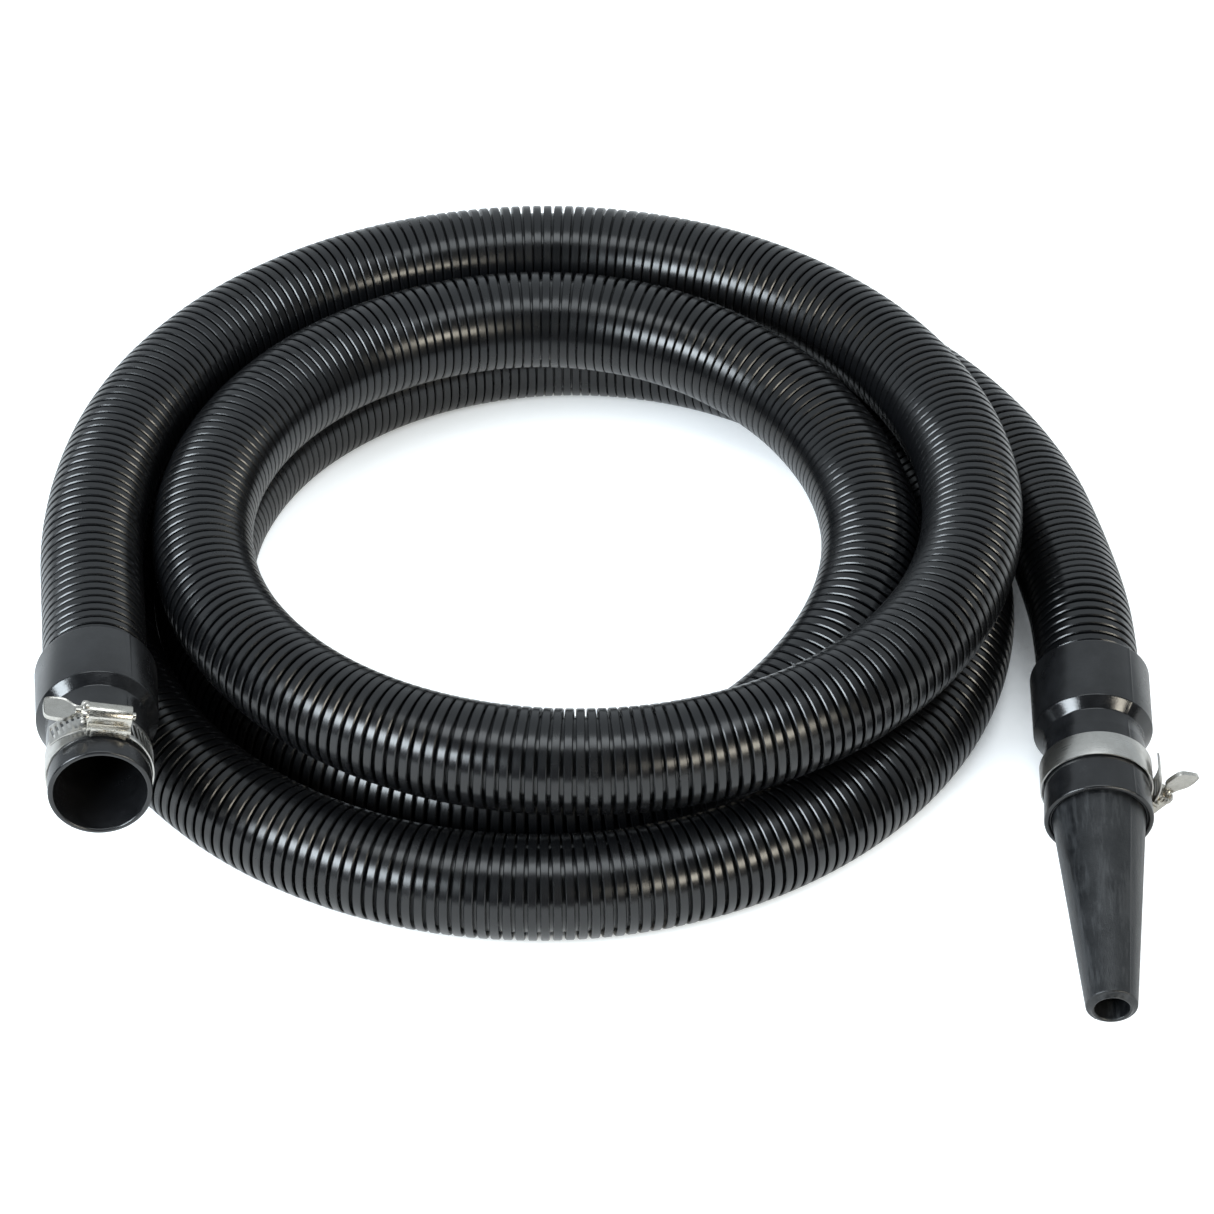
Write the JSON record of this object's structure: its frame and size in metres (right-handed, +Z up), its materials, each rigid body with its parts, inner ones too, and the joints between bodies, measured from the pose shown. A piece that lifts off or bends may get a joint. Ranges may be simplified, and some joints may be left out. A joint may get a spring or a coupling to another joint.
{
  "type": "vacuum hose",
  "caption": "Coiled ribbed suction hose with an open pump cuff at one end and a clamped tapered nozzle at the other, for cleaning pools and ponds.",
  "frame": {"origin": "on the floor under the middle of the coiled hose's box", "axes": "+Z up, +X to the right and +Y to the back when both hose ends point to the front"},
  "size_m": [0.494, 0.4955, 0.1077],
  "materials": {
    "hose": "semi-gloss black, ribbed",
    "cuff": "satin black moulded, scuffed",
    "nozzle_rubber": "matt black rubber, dusty",
    "band_steel": "rolled stainless strip",
    "housing_steel": "pressed stainless, satin",
    "screw_steel": "plated, bright",
    "wing_steel": "stamped, tumbled"
  },
  "bodies": {
    "hose_and_cuffs": {"hose": "hose", "pump_cuff": "cuff", "nozzle_cuff": "cuff"},
    "nozzle": {"nozzle": "nozzle_rubber"},
    "pump_clamp": {"pump_clamp_band": "band_steel", "pump_clamp_saddle": "housing_steel", "pump_clamp_housing": "housing_steel"},
    "pump_thumbscrew": {"pump_clamp_screw": "screw_steel", "pump_clamp_wing": "wing_steel"},
    "nozzle_clamp": {"nozzle_clamp_band": "band_steel", "nozzle_clamp_saddle": "housing_steel", "nozzle_clamp_housing": "housing_steel"},
    "nozzle_thumbscrew": {"nozzle_clamp_screw": "screw_steel", "nozzle_clamp_wing": "wing_steel"}
  },
  "joints": [
    {"name": "nozzle_pull", "type": "slide", "parent": "hose_and_cuffs", "child": "nozzle", "axis": [-0.0267, -0.991, -0.1314], "range_m": [0, 0.045]},
    {"name": "pump_clamp_swivel", "type": "hinge", "parent": "hose_and_cuffs", "child": "pump_clamp", "pos_m": [-0.20979, -0.16656, 0.07378], "axis": [0.1048, -0.9922, 0.0681], "continuous": true},
    {"name": "pump_thumbscrew_turn", "type": "hinge", "parent": "pump_clamp", "child": "pump_thumbscrew", "pos_m": [-0.20383, -0.1641, 0.10051], "axis": [-0.9706, -0.0871, 0.2244], "continuous": true},
    {"name": "nozzle_clamp_swivel", "type": "hinge", "parent": "hose_and_cuffs", "child": "nozzle_clamp", "pos_m": [0.20378, -0.12668, 0.02744], "axis": [-0.0267, -0.991, -0.1314], "range_deg": [0, 190]},
    {"name": "nozzle_thumbscrew_turn", "type": "hinge", "parent": "nozzle_clamp", "child": "nozzle_thumbscrew", "pos_m": [0.22715, -0.125, 0.01002], "axis": [0.5988, -0.1211, 0.7917], "continuous": true}
  ]
}
